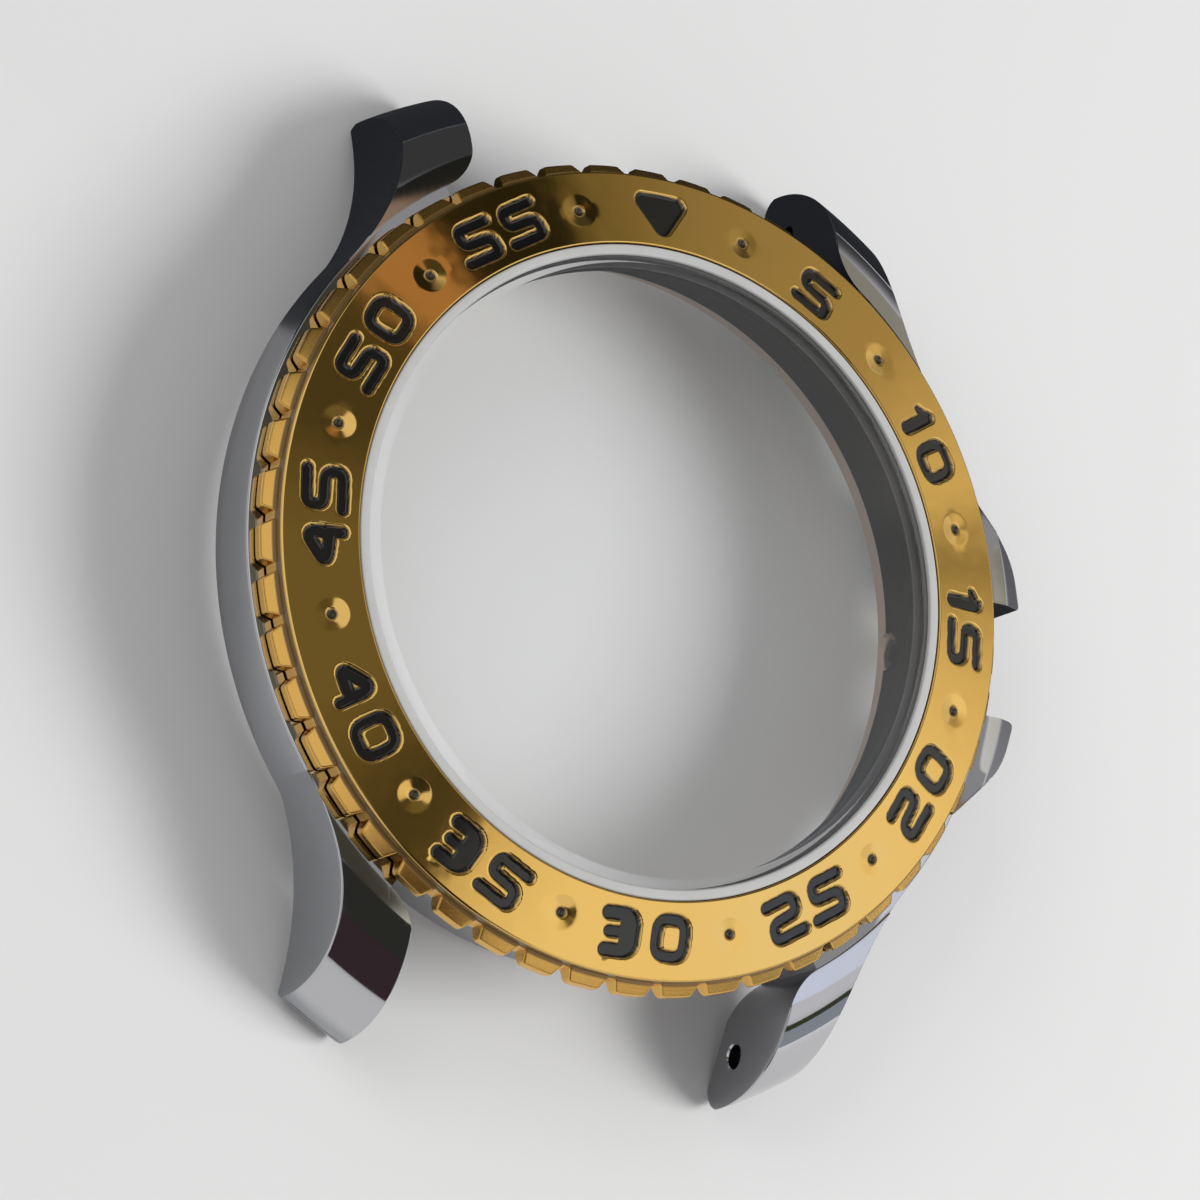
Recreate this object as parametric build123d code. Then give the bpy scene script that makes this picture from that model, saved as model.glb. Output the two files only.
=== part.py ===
from build123d import *
import math
import os

# An empty wristwatch case for a 20 mm strap, with a click bezel and no back, crown or movement.
# Millimetres. The origin is the centre of the case-back opening, on the plane of the bottom rim.
# +Z runs up through the crystal, +X to the crown at 3 o'clock and +Y to 12 o'clock.

# Clearances
running_gap = 0.05
axial_gap = 0.15
pocket_gap = 0.1
cut_overrun = 1.0

# Crystal and its gasket
crystal_radius = 15.2
crystal_thickness = 1.5
crystal_bevel_width = 0.45
crystal_bevel_drop = 0.3
crystal_proud = 0.1
crystal_gasket_wall = 0.5
crystal_gasket_set = 0.05

# Case interior, from the back up
back_recess_depth = 1.0
holder_step_height = 1.0
movement_depth = 3.6
crystal_ledge_width = 0.5
dial_seat_width = 0.8
holder_step_width = 0.3
back_seat_width = 0.8
rim_wall = 1.3

# Case exterior
neck_wall = 0.9
shoulder_width = 0.3
flank_bottom = 2.4
underside_bulge = 0.2
deck_flange_width = 1.05
deck_flange_thickness = 1.2

# Lugs, whose tops and ends are turned about Z
lug_gap = 20.3
lug_width = 3.2
lug_reach = 25.2
lug_drop = 1.7
lug_fall_length = 4.8
lug_tip_radius = 1.0
lug_blend_radius = 14.0
lug_underside_start = 12.7
lug_underside_angle = 23.8
lug_shoulder_rise = 0.15
lug_shoulder_setback = 0.15
lug_corner_radius = 3.0
bar_hole_radius = 0.6
bar_hole_depth = 1.8
bar_hole_inset = 2.4
bar_hole_rise = 2.3

# Crown side
crown_gap = 5.7
crown_seat_depth = 0.4
guard_height = 1.85
guard_root = 8.2
guard_knee = 5.1
guard_knee_setback = 0.55
guard_knee_radius = 3.0
guard_tip_radius = 0.35
guard_bottom = 1.1
guard_bevel_width = 1.1
guard_bevel_drop = 0.5
stem_height = 2.5
tube_spigot_radius = 0.95
tube_spigot_length = 1.7
tube_radius = 1.2
tube_stand_out = 1.4
tube_chamfer = 0.15
stem_hole_radius = 0.45
crown_bore_radius = 0.75

# Bezel ring and its coin edge
coin_tooth_count = 50
coin_tooth_depth = 0.55
coin_root_land = 0.05
coin_edge_height = 0.55
coin_bevel_rise = 0.45
notch_root_width = 0.4
notch_mouth_width = 1.0
skirt_width = 1.1
skirt_depth = 0.25

# Numbered insert
insert_seat_width = 2.75
insert_thickness = 0.48
insert_edge_break = 0.08
face_angle = 12.2
dimple_count = 12
dimple_inset = 1.97
dimple_radius = 0.85
dimple_floor_radius = 0.25
dimple_depth = 0.3
marker_width = 2.7
marker_height = 2.2
marker_depth = 0.3

# Click mechanism
click_count = 120
click_tooth_depth = 0.15
click_tooth_share = 0.8
click_track_width = 1.3
spring_thickness = 0.2
spring_pocket_depth = 0.35
spring_finger_count = 3
spring_finger_length = 3.0
spring_finger_width = 0.6
spring_finger_gap = 0.08
spring_foot_radius = 0.25
spring_foot_length = 0.6
spring_foot_angle = 30.0

# Bezel gasket and flat retaining wire
bezel_gasket_wall = 0.3
bezel_gasket_height = 0.5
wire_width = 0.4
wire_thickness = 0.3
wire_opening_angle = 12.0

# Radii, from the crystal outwards
neck_bore = crystal_radius + crystal_gasket_wall
neck_radius = neck_bore + neck_wall
bezel_bore = neck_radius + running_gap
insert_bore = neck_bore + running_gap
insert_radius = bezel_bore + insert_seat_width
coin_root_radius = insert_radius + coin_root_land
bezel_radius = coin_root_radius + coin_tooth_depth
flank_radius = bezel_radius + shoulder_width

# Radii of the interior, from the dial aperture outwards
aperture_radius = crystal_radius - crystal_ledge_width
movement_radius = aperture_radius + dial_seat_width
holder_radius = movement_radius + holder_step_width
back_radius = holder_radius + back_seat_width
core_radius = back_radius + rim_wall
deck_flange_radius = core_radius + deck_flange_width

# Heights, from the bottom rim up
holder_top = back_recess_depth + holder_step_height
deck = holder_top + movement_depth
bezel_bottom = deck + axial_gap
track_ceiling = bezel_bottom + skirt_depth
track_bottom = track_ceiling - click_tooth_depth
coin_top = bezel_bottom + coin_edge_height
coin_root_top = coin_top + coin_bevel_rise
face_slope = math.tan(math.radians(face_angle))
seat_at_bore = coin_root_top + insert_seat_width * face_slope
neck_top = seat_at_bore - axial_gap
face_outer = coin_root_top + insert_thickness
face_inner = face_outer + (insert_radius - insert_bore) * face_slope
crystal_top = face_inner + crystal_proud
crystal_seat = crystal_top - crystal_thickness

# Crown side, outwards along X
crown_seat = flank_radius - crown_seat_depth
tube_inner_end = holder_radius + running_gap
tube_shoulder = tube_inner_end + tube_spigot_length
tube_outer_end = crown_seat + tube_stand_out

# Click track, spring pocket and bezel gasket
click_angle = 360 / click_count
gasket_outer = neck_radius + bezel_gasket_wall
gasket_relief = gasket_outer + running_gap
gasket_relief_top = deck + bezel_gasket_height + pocket_gap
pocket_inner = gasket_outer + pocket_gap
spring_inner = pocket_inner + running_gap
track_inner = spring_inner + running_gap
track_outer = track_inner + click_track_width
spring_outer = track_outer + running_gap
pocket_outer = spring_outer + running_gap
track_radius = (track_inner + track_outer) / 2
spring_floor = deck - spring_pocket_depth
gullet_width = 2 * math.pi * track_inner / click_count * click_tooth_share

# Retaining wire, half in the neck and half in the ring
wire_bed = neck_radius - wire_width / 2
wire_inner = wire_bed + running_gap
wire_outer = wire_inner + wire_width
wire_bottom = (gasket_relief_top + neck_top - wire_thickness) / 2
wire_top = wire_bottom + wire_thickness
groove_outer = wire_outer + running_gap
groove_bottom = wire_bottom - running_gap
groove_top = wire_top + running_gap

# The bezel stands one click counter-clockwise of the case, as photographed
bezel_rest_turn = click_angle


def turned(*points):
    """Solid of revolution about Z from (radius, height) corners."""
    corners = [(radius, 0, height) for radius, height in points]
    return revolve(make_face(Polyline(*corners, close=True)), Axis.Z)


def tube(inner, outer, low, high):
    """Straight-walled ring about Z."""
    return turned((inner, low), (outer, low), (outer, high), (inner, high))


def rod_x(radius, start, end, y=0, z=0):
    """Cylinder along X from start to end."""
    return Pos(start, y, z) * extrude(Plane.YZ * Circle(radius), end - start)


def block(low, high):
    """Box between two corners."""
    size = [top - bottom for bottom, top in zip(low, high)]
    middle = [(top + bottom) / 2 for bottom, top in zip(low, high)]
    return Pos(*middle) * Box(*size)


def along_x(points, start, end):
    """Prism along X from start to end over a polygon of (y, z) points."""
    face = make_face(Polyline(*points, close=True))
    return Pos(start, 0, 0) * extrude(Plane.YZ * face, end - start)


def face_height(radius):
    """Height of the sloping numbered face at a radius."""
    return face_outer + (insert_radius - radius) * face_slope


def lug_plan():
    """Plan of a case quarter outside the strap gap: flank circle, concave blend and straight lug."""
    inner_x = lug_gap / 2
    flank_x = inner_x + lug_width
    blend_x = flank_x + lug_blend_radius
    reach = flank_radius + lug_blend_radius
    blend_y = math.sqrt(reach ** 2 - blend_x ** 2)
    leave = (blend_x * flank_radius / reach, blend_y * flank_radius / reach)
    turn = math.radians(180) + math.atan2(blend_y, blend_x) / 2
    bend = (blend_x + lug_blend_radius * math.cos(turn), blend_y + lug_blend_radius * math.sin(turn))
    return make_face(
        Line((inner_x, 0), (flank_radius, 0))
        + CenterArc((0, 0), flank_radius, 0, math.degrees(math.atan2(leave[1], leave[0])))
        + ThreePointArc(leave, bend, (flank_x, blend_y))
        + Line((flank_x, blend_y), (flank_x, lug_reach))
        + Line((flank_x, lug_reach), (inner_x, lug_reach))
        + Line((inner_x, lug_reach), (inner_x, 0))
    )


def lug_turning():
    """Turned shape of the lugs' tops and ends: flat shoulder, then a quarter ellipse down to a round tip."""
    fall = lug_reach - lug_fall_length
    tip = lug_reach - lug_tip_radius
    tip_z = lug_tip_radius - lug_drop
    shoulder = deck + lug_shoulder_rise
    half_turn = math.radians(-45)
    bend = (tip + lug_tip_radius * math.cos(half_turn), tip_z + lug_tip_radius * math.sin(half_turn))
    profile = make_face(
        Line((0, -lug_drop), (tip, -lug_drop))
        + ThreePointArc((tip, -lug_drop), bend, (lug_reach, tip_z))
        + EllipticalCenterArc((fall, tip_z), lug_fall_length, shoulder - tip_z, arc_size=90)
        + Line((fall, shoulder), (0, shoulder))
        + Line((0, shoulder), (0, -lug_drop))
    )
    return revolve(Plane.XZ * profile, Axis.Z)


def deck_ledge():
    """Space above the deck beside a lug's raised top, which ends in a circle about Z and a rounded corner."""
    inner_x = lug_gap / 2
    shoulder = flank_radius + lug_shoulder_setback
    corner = (inner_x, math.sqrt(shoulder ** 2 - inner_x ** 2))
    beyond = lug_reach + cut_overrun
    raised = make_face(
        Line((shoulder, 0), (beyond, 0))
        + Line((beyond, 0), (beyond, beyond))
        + Line((beyond, beyond), (inner_x, beyond))
        + Line((inner_x, beyond), corner)
        + CenterArc((0, 0), shoulder, 0, math.degrees(math.atan2(corner[1], corner[0])))
    )
    raised = fillet(raised.vertices().sort_by_distance((*corner, 0))[0], lug_corner_radius)
    top = deck + lug_shoulder_rise + cut_overrun
    space = block((inner_x - cut_overrun, -cut_overrun, deck), (beyond, beyond, top))
    return space - Pos(0, 0, deck - cut_overrun) * extrude(raised, top - deck + 2 * cut_overrun)


def case_quarter():
    """The quarter of the case with a lug, from the strap gap to the flank, with its straight underside."""
    plan = extrude(lug_plan(), deck + lug_drop + lug_shoulder_rise + 2 * cut_overrun)
    prism = Pos(0, 0, -lug_drop - cut_overrun) * plan
    end_z = flank_bottom - (lug_reach - lug_underside_start) * math.tan(math.radians(lug_underside_angle))
    beyond = deck + lug_shoulder_rise + cut_overrun
    side = along_x(
        [(0, flank_bottom), (lug_underside_start, flank_bottom), (lug_reach, end_z), (lug_reach, beyond), (0, beyond)],
        0,
        flank_radius + cut_overrun,
    )
    return (prism & lug_turning() & side) - deck_ledge()


def underside():
    """Bowl under the flanks, cut away across the strap gap."""
    middle = (core_radius + flank_radius) / 2 + underside_bulge
    bowl = make_face(
        Line((0, 0, 0), (core_radius, 0, 0))
        + ThreePointArc(
            (core_radius, 0, 0), (middle, 0, flank_bottom / 2 - underside_bulge), (flank_radius, 0, flank_bottom)
        )
        + Line((flank_radius, 0, flank_bottom), (0, 0, flank_bottom))
        + Line((0, 0, flank_bottom), (0, 0, 0))
    )
    side = block((lug_gap / 2, -flank_radius, 0), (flank_radius, flank_radius, flank_bottom))
    half = revolve(bowl, Axis.Z) & side
    return half + mirror(half, about=Plane.YZ)


def core():
    """Round middle of the case: wall between the lugs, deck flange and bezel neck."""
    flange_bottom = deck - deck_flange_thickness
    return turned(
        (0, 0),
        (core_radius, 0),
        (core_radius, flange_bottom - deck_flange_width),
        (deck_flange_radius, flange_bottom),
        (deck_flange_radius, deck),
        (neck_radius, deck),
        (neck_radius, neck_top),
        (0, neck_top),
    )


def crown_guard():
    """Guard on the 12 o'clock side of the crown, with its outer top edge bevelled."""
    root_x = math.sqrt(flank_radius ** 2 - guard_root ** 2)
    tip_x = flank_radius + guard_height
    knee = (tip_x - guard_knee_setback, guard_knee)
    tip = (tip_x, crown_gap / 2)
    plan = make_face(
        Polyline((core_radius, crown_gap / 2), tip, knee, (root_x, guard_root), (core_radius, guard_root), close=True)
    )
    plan = fillet(plan.vertices().sort_by_distance((*knee, 0))[0], guard_knee_radius)
    plan = fillet(plan.vertices().sort_by_distance((*tip, 0))[0], guard_tip_radius)
    guard = Pos(0, 0, guard_bottom) * extrude(plan, deck - guard_bottom)
    outer = math.hypot(*tip)
    beyond = outer + cut_overrun
    low = deck - guard_bevel_drop * (guard_bevel_width + cut_overrun) / guard_bevel_width
    bevel = turned(
        (outer - guard_bevel_width, deck),
        (beyond, low),
        (beyond, deck + cut_overrun),
        (outer - guard_bevel_width, deck + cut_overrun),
    )
    return guard - bevel


def cavity():
    """The stepped opening through the case, from the back recess up to the crystal seat."""
    return turned(
        (0, -cut_overrun),
        (back_radius, -cut_overrun),
        (back_radius, back_recess_depth),
        (holder_radius, back_recess_depth),
        (holder_radius, holder_top),
        (movement_radius, holder_top),
        (movement_radius, deck),
        (aperture_radius, deck),
        (aperture_radius, crystal_seat),
        (neck_bore, crystal_seat),
        (neck_bore, neck_top + cut_overrun),
        (0, neck_top + cut_overrun),
    )


def bar_hole():
    """Blind hole for a spring bar's tip, in the lug at 12 o'clock on the crown side."""
    inner_x = lug_gap / 2
    lug_end = math.sqrt(lug_reach ** 2 - inner_x ** 2)
    return rod_x(
        bar_hole_radius,
        inner_x - cut_overrun,
        inner_x + bar_hole_depth,
        lug_end - bar_hole_inset,
        bar_hole_rise - lug_drop,
    )


def foot_place():
    """Where the click spring's foot goes into the deck."""
    return Rot(0, 0, spring_foot_angle) * Pos(track_radius, 0, 0)


def four_ways(solid):
    """A solid and its mirror images across both vertical planes."""
    pair = [solid, mirror(solid, about=Plane.YZ)]
    return pair + [mirror(one, about=Plane.XZ) for one in pair]


def make_mid_case():
    """Case middle with four lugs and crown guards, machined from one blank."""
    guard = crown_guard()
    case = core() + underside()
    for quarter in four_ways(case_quarter()):
        case += quarter
    case += guard
    case += mirror(guard, about=Plane.XZ)
    guard_tip = flank_radius + guard_height + cut_overrun
    case -= block((crown_seat, -crown_gap / 2, 0), (guard_tip, crown_gap / 2, deck + cut_overrun))
    case -= cavity()
    case -= tube(pocket_inner, pocket_outer, spring_floor, deck + cut_overrun)
    case -= tube(wire_bed, bezel_bore, groove_bottom, groove_top)
    case -= rod_x(tube_spigot_radius, aperture_radius, tube_shoulder, z=stem_height)
    case -= rod_x(tube_radius, tube_shoulder, guard_tip, z=stem_height)
    foot_hole = Cylinder(spring_foot_radius + running_gap, spring_foot_length * 2)
    case -= Pos(0, 0, spring_floor) * foot_place() * foot_hole
    for hole in four_ways(bar_hole()):
        case -= hole
    return case


def coin_notch():
    """Flared gap between two teeth of the coin edge, at 3 o'clock."""
    beyond = bezel_radius + cut_overrun
    flare = (notch_mouth_width - notch_root_width) / coin_tooth_depth
    root = notch_root_width / 2
    mouth = root + flare * (coin_tooth_depth + cut_overrun) / 2
    plan = make_face(
        Polyline((coin_root_radius, -root), (beyond, -mouth), (beyond, mouth), (coin_root_radius, root), close=True)
    )
    return Pos(0, 0, bezel_bottom - cut_overrun) * extrude(plan, coin_root_top - bezel_bottom + 2 * cut_overrun)


def click_gullet():
    """Pocket between two click teeth at 3 o'clock, with its steep wall on the counter-clockwise side."""
    half = gullet_width / 2
    below = track_bottom - cut_overrun
    return along_x(
        [(-half, below), (-half, track_bottom), (half, track_ceiling), (half, below)], track_inner, track_outer
    )


def make_bezel_ring():
    """Coin-edge ring that turns on the neck and carries the insert."""
    skirt_inner = bezel_radius - skirt_width
    ring = turned(
        (gasket_relief, track_bottom),
        (skirt_inner, track_bottom),
        (skirt_inner, bezel_bottom),
        (bezel_radius, bezel_bottom),
        (bezel_radius, coin_top),
        (coin_root_radius, coin_root_top),
        (insert_radius, coin_root_top),
        (bezel_bore, seat_at_bore),
        (bezel_bore, gasket_relief_top),
        (gasket_relief, gasket_relief_top),
    )
    ring -= tube(wire_bed, groove_outer, groove_bottom, groove_top)
    notch = Rot(0, 0, bezel_rest_turn) * coin_notch()
    ring -= [place * notch for place in PolarLocations(0, coin_tooth_count)]
    gullet = click_gullet()
    return ring - [place * gullet for place in PolarLocations(0, click_count)]


def face_place(angle, radius):
    """Point of the numbered face at an angle and a radius, tilted so that its Z is square to the face."""
    return Rot(0, 0, angle) * Pos(radius, 0, face_height(radius)) * Rot(0, face_angle, 0)


def dimple():
    """Cone that cuts a minute dimple."""
    flare = (dimple_radius - dimple_floor_radius) / dimple_depth
    rise = dimple_depth / 2
    height = dimple_depth + rise
    return Pos(0, 0, height / 2 - dimple_depth) * Cone(dimple_floor_radius, dimple_radius + flare * rise, height)


def marker():
    """Triangle at 12 that points to the centre."""
    half = marker_width / 2
    end = marker_height / 2
    plan = make_face(Polyline((end, -half), (end, half), (-end, 0), close=True))
    return Pos(0, 0, -marker_depth) * extrude(plan, marker_depth * 2)


def make_bezel_insert():
    """Sloping numbered ring, with a dimple half way between each pair of numerals."""
    outer_break = insert_radius - insert_edge_break
    inner_break = insert_bore + insert_edge_break
    ring = turned(
        (insert_bore, face_inner - insert_thickness),
        (insert_radius, coin_root_top),
        (insert_radius, face_outer - insert_edge_break),
        (outer_break, face_height(outer_break)),
        (inner_break, face_height(inner_break)),
        (insert_bore, face_inner - insert_edge_break),
    )
    pitch = 360 / dimple_count
    first = pitch / 2 + bezel_rest_turn
    circle = insert_radius - dimple_inset
    ring -= [face_place(first + pitch * step, circle) * dimple() for step in range(dimple_count)]
    return ring - face_place(90 + bezel_rest_turn, (insert_bore + insert_radius) / 2) * marker()


def make_crystal():
    """Flat mineral glass with a bevelled edge."""
    return turned(
        (0, crystal_seat),
        (crystal_radius, crystal_seat),
        (crystal_radius, crystal_top - crystal_bevel_drop),
        (crystal_radius - crystal_bevel_width, crystal_top),
        (0, crystal_top),
    )


def make_crystal_gasket():
    """White ring that grips the crystal in the neck."""
    return tube(crystal_radius, neck_bore, crystal_seat, face_inner - crystal_gasket_set)


def make_bezel_gasket():
    """Ring round the foot of the neck that steadies the bezel."""
    return tube(neck_radius, gasket_outer, deck, deck + bezel_gasket_height)


def make_retaining_wire():
    """Open ring of flat wire, sprung into the neck groove, that holds the bezel down."""
    section = Plane.XZ * Pos((wire_inner + wire_outer) / 2, (wire_bottom + wire_top) / 2)
    wire = revolve(section * Rectangle(wire_width, wire_thickness), Axis.Z, 360 - wire_opening_angle)
    return Rot(0, 0, wire_opening_angle / 2) * wire


def spring_finger():
    """Sloping finger at 3 o'clock whose end rests against the wall of a click tooth, and its slot."""
    tip_y = gullet_width / 2 - spring_finger_gap
    root_y = tip_y - spring_finger_length
    tip_z = track_ceiling - spring_finger_gap
    top = spring_floor + spring_thickness
    low_x = track_radius - spring_finger_width / 2
    high_x = track_radius + spring_finger_width / 2
    outline = [(root_y, spring_floor), (root_y, top), (tip_y, tip_z), (tip_y, tip_z - spring_thickness)]
    finger = along_x(outline, low_x, high_x)
    slot = block(
        (low_x - pocket_gap, root_y, spring_floor - cut_overrun),
        (high_x + pocket_gap, tip_y + pocket_gap, top + cut_overrun),
    )
    return finger, slot


def make_click_spring():
    """Flat spring ring in the deck pocket, with raised fingers and a foot that stops it turning."""
    top = spring_floor + spring_thickness
    spring = tube(spring_inner, spring_outer, spring_floor, top)
    finger, slot = spring_finger()
    for step in range(spring_finger_count):
        place = Rot(0, 0, 90 + 360 / spring_finger_count * step)
        spring = spring - place * slot + place * finger
    foot = extrude(Circle(spring_foot_radius), -spring_foot_length)
    return spring + Pos(0, 0, spring_floor) * foot_place() * foot


def make_crown_tube():
    """Stepped tube pressed into the case wall for the crown and stem."""
    end = tube_outer_end - tube_chamfer
    profile = Polyline(
        (tube_inner_end, 0, stem_hole_radius),
        (tube_inner_end, 0, tube_spigot_radius),
        (tube_shoulder, 0, tube_spigot_radius),
        (tube_shoulder, 0, tube_radius),
        (end, 0, tube_radius),
        (tube_outer_end, 0, tube_radius - tube_chamfer),
        (tube_outer_end, 0, crown_bore_radius),
        (tube_shoulder, 0, crown_bore_radius),
        (tube_shoulder, 0, stem_hole_radius),
        close=True,
    )
    return Pos(0, 0, stem_height) * revolve(make_face(profile), Axis.X)


PARTS = {
    "mid_case": make_mid_case,
    "bezel_ring": make_bezel_ring,
    "bezel_insert": make_bezel_insert,
    "crystal": make_crystal,
    "crystal_gasket": make_crystal_gasket,
    "bezel_gasket": make_bezel_gasket,
    "retaining_wire": make_retaining_wire,
    "click_spring": make_click_spring,
    "crown_tube": make_crown_tube,
}

os.makedirs("parts", exist_ok=True)
for node, make in PARTS.items():
    solid = make()
    solid.label = node
    export_step(solid, f"parts/{node}.step")
    print(node, "volume", round(solid.volume, 2), "box", solid.bounding_box())
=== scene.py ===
"""An empty steel watch case with a gold coin-edge bezel, photographed on a pale studio floor.

Everything is in metres in the frame of the part: +Z through the crystal, +X to the crown, +Y to 12 o'clock.
Profiles and numerals are written in millimetres and scaled once, when their mesh is made.
"""
import math

import bmesh
import bpy
import numpy as np
from mathutils import Matrix, Quaternion, Vector


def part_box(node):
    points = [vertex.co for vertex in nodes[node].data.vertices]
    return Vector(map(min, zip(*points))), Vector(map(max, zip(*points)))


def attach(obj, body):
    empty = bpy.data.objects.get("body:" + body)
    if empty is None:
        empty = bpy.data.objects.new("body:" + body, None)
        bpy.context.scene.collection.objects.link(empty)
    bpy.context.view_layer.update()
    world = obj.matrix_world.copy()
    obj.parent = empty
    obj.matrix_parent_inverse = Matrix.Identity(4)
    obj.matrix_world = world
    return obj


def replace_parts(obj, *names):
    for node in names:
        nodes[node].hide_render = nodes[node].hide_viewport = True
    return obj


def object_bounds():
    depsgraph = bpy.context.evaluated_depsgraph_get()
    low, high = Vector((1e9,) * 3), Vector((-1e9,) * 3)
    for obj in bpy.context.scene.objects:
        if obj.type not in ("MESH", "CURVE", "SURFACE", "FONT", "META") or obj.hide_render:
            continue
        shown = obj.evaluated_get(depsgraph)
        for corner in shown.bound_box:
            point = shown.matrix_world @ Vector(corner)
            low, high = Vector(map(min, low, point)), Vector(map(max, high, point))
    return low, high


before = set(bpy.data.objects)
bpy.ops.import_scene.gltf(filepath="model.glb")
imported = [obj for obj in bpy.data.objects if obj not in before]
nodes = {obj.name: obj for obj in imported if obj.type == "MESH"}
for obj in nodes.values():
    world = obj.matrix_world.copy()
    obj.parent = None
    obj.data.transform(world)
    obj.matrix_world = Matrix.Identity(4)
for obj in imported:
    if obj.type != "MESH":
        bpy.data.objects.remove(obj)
cad_low, cad_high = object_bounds()
cad_middle = (cad_low + cad_high) / 2

MM = 0.001
CASE, BEZEL = "case", "bezel"


def outer_radius(node):
    """Largest radius of a round node, in millimetres."""
    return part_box(node)[1].y / MM


def heights(node):
    """Lowest and highest level of a node, in millimetres."""
    low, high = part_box(node)
    return low.z / MM, high.z / MM


# Sizes read from the frame, in millimetres
RING_RADIUS = -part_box("bezel_ring")[0].x / MM
RING_BOTTOM, RING_TOP = heights("bezel_ring")
INSERT_RADIUS = outer_radius("bezel_insert")
INSERT_BOTTOM = heights("bezel_insert")[0]
CRYSTAL_RADIUS = outer_radius("crystal")
CRYSTAL_SEAT, CRYSTAL_TOP = heights("crystal")
GASKET_RADIUS = outer_radius("crystal_gasket")
GASKET_TOP = heights("crystal_gasket")[1]

# Level of the floor, in metres
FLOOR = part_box("mid_case")[0].z

# The bezel as it was photographed, one click counter-clockwise of the case, and an hour of it, in degrees
BEZEL_TURN = 3.0
HOUR = 30.0

# Insert: its face has rows close together where the marks lie, and one plain row on each side of them
INSERT_BORE = GASKET_RADIUS + 0.05
FACE_ANGLE = math.radians(12.2)
FACE_THICKNESS = 0.48
EDGE_ROUND = 0.09
SUPPORT = 0.02
MARKED_OUTER, MARKED_INNER, ROW_STEP = 18.75, 16.05, 0.058
PLAIN_OUTER, PLAIN_INNER = 19.0, 15.96

# Coin edge
TOOTH_COUNT = 50
TOOTH_ROOT = INSERT_RADIUS + 0.05
TOOTH_SIDE_TOP = RING_BOTTOM + 0.55
TOOTH_TOP = RING_BOTTOM + 1.0
TOOTH_FOOT_ROUND, TOOTH_TOP_ROUND = 0.08, 0.06
NOTCH_ROOT = 0.19
NOTCH_FLARE = 0.5
NOTCH_ROUND = 0.07

# Hidden parts of the bezel's seat
RING_BORE = GASKET_RADIUS + 0.95
WIRE_BOTTOM, WIRE_TOP = heights("retaining_wire")
GROOVE_LOW, GROOVE_HIGH = WIRE_BOTTOM - 0.05, WIRE_TOP + 0.05
RELIEF_RADIUS = outer_radius("bezel_gasket") + 0.05
CLICK_COUNT = 120
CLICK_DEPTH = 0.15


# Meshes

def around(radius, angle, *height):
    """Points (r cos a, r sin a) round Z, with their heights where these are given."""
    return np.stack(np.broadcast_arrays(radius * np.cos(angle), radius * np.sin(angle), *height), -1)


def grid_quads(rows, columns, close_rows=True):
    """Quads of a grid whose columns close in a ring: each point, its right neighbour and the two above. The
    rows close too, or stay open."""
    i, j = np.meshgrid(np.arange(rows if close_rows else rows - 1), np.arange(columns), indexing="ij")
    above, right = (i + 1) % rows, (j + 1) % columns
    corners = (i * columns + j, i * columns + right, above * columns + right, above * columns + j)
    return np.stack(corners, -1).reshape(-1, 4)


def new_object(name, data):
    """Object of the scene."""
    item = bpy.data.objects.new(name, data)
    bpy.context.scene.collection.objects.link(item)
    return item


def hang(name, mesh, body, material, sharp):
    """Smooths a mesh up to a sharp angle, gives it its material, and hangs it on its body."""
    mesh.polygons.foreach_set("use_smooth", np.ones(len(mesh.polygons), bool))
    mesh.set_sharp_from_angle(angle=math.radians(sharp))
    mesh.materials.clear()
    mesh.materials.append(material)
    piece = new_object(name, mesh)
    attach(piece, body)
    return piece


def add_piece(name, points, body, material, sharp=35.0, paint=None):
    """Makes a piece from a grid of points in millimetres that closes both ways. An attribute of values per
    point says where colour is laid over the metal: the insert's black marks, and painted shade in the seams."""
    mesh = bpy.data.meshes.new(name)
    quads = grid_quads(*points.shape[:2])
    mesh.from_pydata((points.reshape(-1, 3) * MM).tolist(), [], quads.tolist())
    if paint is not None:
        layer = mesh.attributes.new("paint", "FLOAT", "POINT")
        layer.data.foreach_set("value", np.ravel(paint).astype(np.float32))
    return hang(name, mesh, body, material, sharp)


def rounded(corners, radius, steps=4, closed=True):
    """Outline with its corners rounded: each corner becomes a quadratic curve between two points on its
    edges, (1-t)^2 before + 2t(1-t) corner + t^2 after. An open outline keeps its two ends."""
    corners = np.array(corners, float)
    before = np.roll(corners, 1, 0) - corners
    after = np.roll(corners, -1, 0) - corners
    long_before = np.linalg.norm(before, axis=1, keepdims=True)
    long_after = np.linalg.norm(after, axis=1, keepdims=True)
    cut = np.minimum(radius, 0.45 * np.minimum(long_before, long_after))
    start = corners + before / long_before * cut
    end = corners + after / long_after * cut
    t = np.linspace(0, 1, steps + 1)[None, :, None]
    curve = (1 - t) ** 2 * start[:, None] + 2 * t * (1 - t) * corners[:, None] + t ** 2 * end[:, None]
    if closed:
        return curve.reshape(-1, 2)
    return np.vstack([corners[:1], curve[1:-1].reshape(-1, 2), corners[-1:]])


def turned_piece(name, profile, body, material):
    """Ring about Z: each (radius, height) of a closed counter-clockwise profile goes round a full circle."""
    angle = np.linspace(0, 2 * np.pi, 320, endpoint=False)
    return add_piece(name, around(profile[:, :1], angle, profile[:, 1:]), body, material)


def closed_poles(piece):
    """Merges the points of a turned piece that meet on its axis."""
    shell = bmesh.new()
    shell.from_mesh(piece.data)
    bmesh.ops.remove_doubles(shell, verts=shell.verts, dist=1e-7)
    shell.to_mesh(piece.data)
    shell.free()


# Materials

def new_material(name):
    """Empty material, with its node tree."""
    material = bpy.data.materials.new(name)
    material.use_nodes = True
    tree = material.node_tree
    tree.nodes.clear()
    return material, tree


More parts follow.
